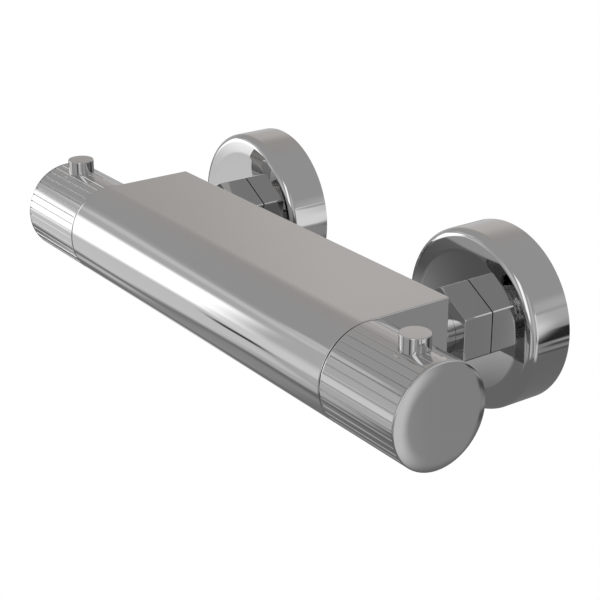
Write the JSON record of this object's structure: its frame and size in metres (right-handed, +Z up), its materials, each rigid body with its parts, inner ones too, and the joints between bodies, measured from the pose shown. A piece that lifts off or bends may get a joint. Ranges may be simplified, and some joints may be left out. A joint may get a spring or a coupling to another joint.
{
  "type": "thermostatic shower valve",
  "caption": "Exposed bar shower valve: round-fronted body, grooved temperature and flow knobs with push-button catches, hexagonal union nuts and round wall rosettes.",
  "frame": {"origin": "midpoint between the two wall inlets, on the finished wall's plane, which is the plane of the rosettes' back rims", "axes": "+X to the right as the user faces the valve, along the bar; +Y into the wall; +Z up"},
  "size_m": [0.2624, 0.1135, 0.0708],
  "materials": {
    "body_chrome": "polished chrome plating on the bar",
    "knob_chrome": "polished chrome plating, finely grooved",
    "cap_chrome": "polished chrome plating on the end caps",
    "button_chrome": "polished chrome plating on the push buttons",
    "fitting_chrome": "polished chrome plating on hexagons and nipples",
    "rosette_chrome": "polished chrome plating on spun sheet",
    "raw_brass": "machined brass",
    "spring_steel": "bright spring wire",
    "screw_steel": "stainless steel",
    "natural_plastic": "natural acetal",
    "cartridge_plastic": "dark glass-filled moulding",
    "disc_ceramic": "lapped white ceramic",
    "seal_rubber": "black sealing rubber",
    "wax_copper": "copper cup",
    "poppet_plastic": "blue moulding"
  },
  "bodies": {
    "mixer": {"valve_body": "body_chrome", "temperature_stop_ring": "natural_plastic", "temperature_guide_ring": "natural_plastic", "thermostat_retaining_nut": "raw_brass", "thermostat_housing": "cartridge_plastic", "thermostat_end_plate": "natural_plastic", "thermostat_return_spring": "spring_steel", "thermostat_o_rings": "seal_rubber", "flow_stop_ring": "natural_plastic", "flow_guide_ring": "natural_plastic", "flow_retaining_nut": "raw_brass", "flow_cartridge_body": "cartridge_plastic", "flow_fixed_disc": "disc_ceramic", "flow_seat_seal": "seal_rubber", "flow_o_rings": "seal_rubber", "hot_inlet_nipple": "fitting_chrome", "cold_inlet_nipple": "fitting_chrome", "hot_union_nut": "fitting_chrome", "cold_union_nut": "fitting_chrome", "hot_union_washer": "seal_rubber", "cold_union_washer": "seal_rubber", "hot_check_valve_body": "natural_plastic", "cold_check_valve_body": "natural_plastic", "hot_check_spring": "spring_steel", "cold_check_spring": "spring_steel", "hot_wall_union": "fitting_chrome", "cold_wall_union": "fitting_chrome", "hot_rosette_ring": "seal_rubber", "cold_rosette_ring": "seal_rubber", "hot_wall_rosette": "rosette_chrome", "cold_wall_rosette": "rosette_chrome", "outlet_nipple": "fitting_chrome", "outlet_gasket": "seal_rubber"},
    "temperature_knob": {"temperature_knob": "knob_chrome", "temperature_knob_cap": "cap_chrome", "temperature_knob_screw": "screw_steel", "temperature_spline_insert": "natural_plastic", "temperature_button_retainer": "natural_plastic", "temperature_button_spring": "spring_steel", "thermostat_spindle": "raw_brass"},
    "temperature_button": {"temperature_button": "button_chrome"},
    "thermostat_carriage": {"thermostat_carriage": "raw_brass", "thermostat_overload_spring": "spring_steel", "thermostat_push_plate": "raw_brass", "thermostat_wax_element": "wax_copper", "thermostat_shuttle": "natural_plastic"},
    "flow_knob": {"flow_knob": "knob_chrome", "flow_knob_cap": "cap_chrome", "flow_knob_screw": "screw_steel", "flow_spline_insert": "natural_plastic", "flow_button_retainer": "natural_plastic", "flow_button_spring": "spring_steel", "flow_spindle": "raw_brass", "flow_rotating_disc": "disc_ceramic"},
    "flow_button": {"flow_button": "button_chrome"},
    "hot_check_poppet": {"hot_check_poppet": "poppet_plastic"},
    "cold_check_poppet": {"cold_check_poppet": "poppet_plastic"}
  },
  "joints": [
    {"name": "temperature_turn", "type": "hinge", "parent": "mixer", "child": "temperature_knob", "pos_m": [0, -0.0795, 0], "axis": [1, 0, 0], "range_deg": [-180, 90]},
    {"name": "thermostat_shift", "type": "slide", "parent": "mixer", "child": "thermostat_carriage", "axis": [1, 0, 0], "range_m": [-0.001, 0.0005], "deforming": ["thermostat_return_spring"]},
    {"name": "temperature_button_press", "type": "slide", "parent": "temperature_knob", "child": "temperature_button", "axis": [0, 0, -1], "range_m": [0, 0.0025], "stiffness_N_per_m": 400, "springref_m": -0.005, "deforming": ["temperature_button_spring"]},
    {"name": "flow_turn", "type": "hinge", "parent": "mixer", "child": "flow_knob", "pos_m": [0, -0.0795, 0], "axis": [1, 0, 0], "range_deg": [0, 90]},
    {"name": "flow_button_press", "type": "slide", "parent": "flow_knob", "child": "flow_button", "axis": [0, 0, -1], "range_m": [0, 0.0025], "stiffness_N_per_m": 400, "springref_m": -0.005, "deforming": ["flow_button_spring"]},
    {"name": "hot_check_lift", "type": "slide", "parent": "mixer", "child": "hot_check_poppet", "axis": [0, -1, 0], "range_m": [0, 0.003], "stiffness_N_per_m": 50, "springref_m": -0.003, "deforming": ["hot_check_spring"]},
    {"name": "cold_check_lift", "type": "slide", "parent": "mixer", "child": "cold_check_poppet", "axis": [0, -1, 0], "range_m": [0, 0.003], "stiffness_N_per_m": 50, "springref_m": -0.003, "deforming": ["cold_check_spring"]}
  ],
  "couplings": [
    {"joint": "thermostat_shift", "follows": "temperature_turn", "m_per_rad": 0.00031831}
  ]
}
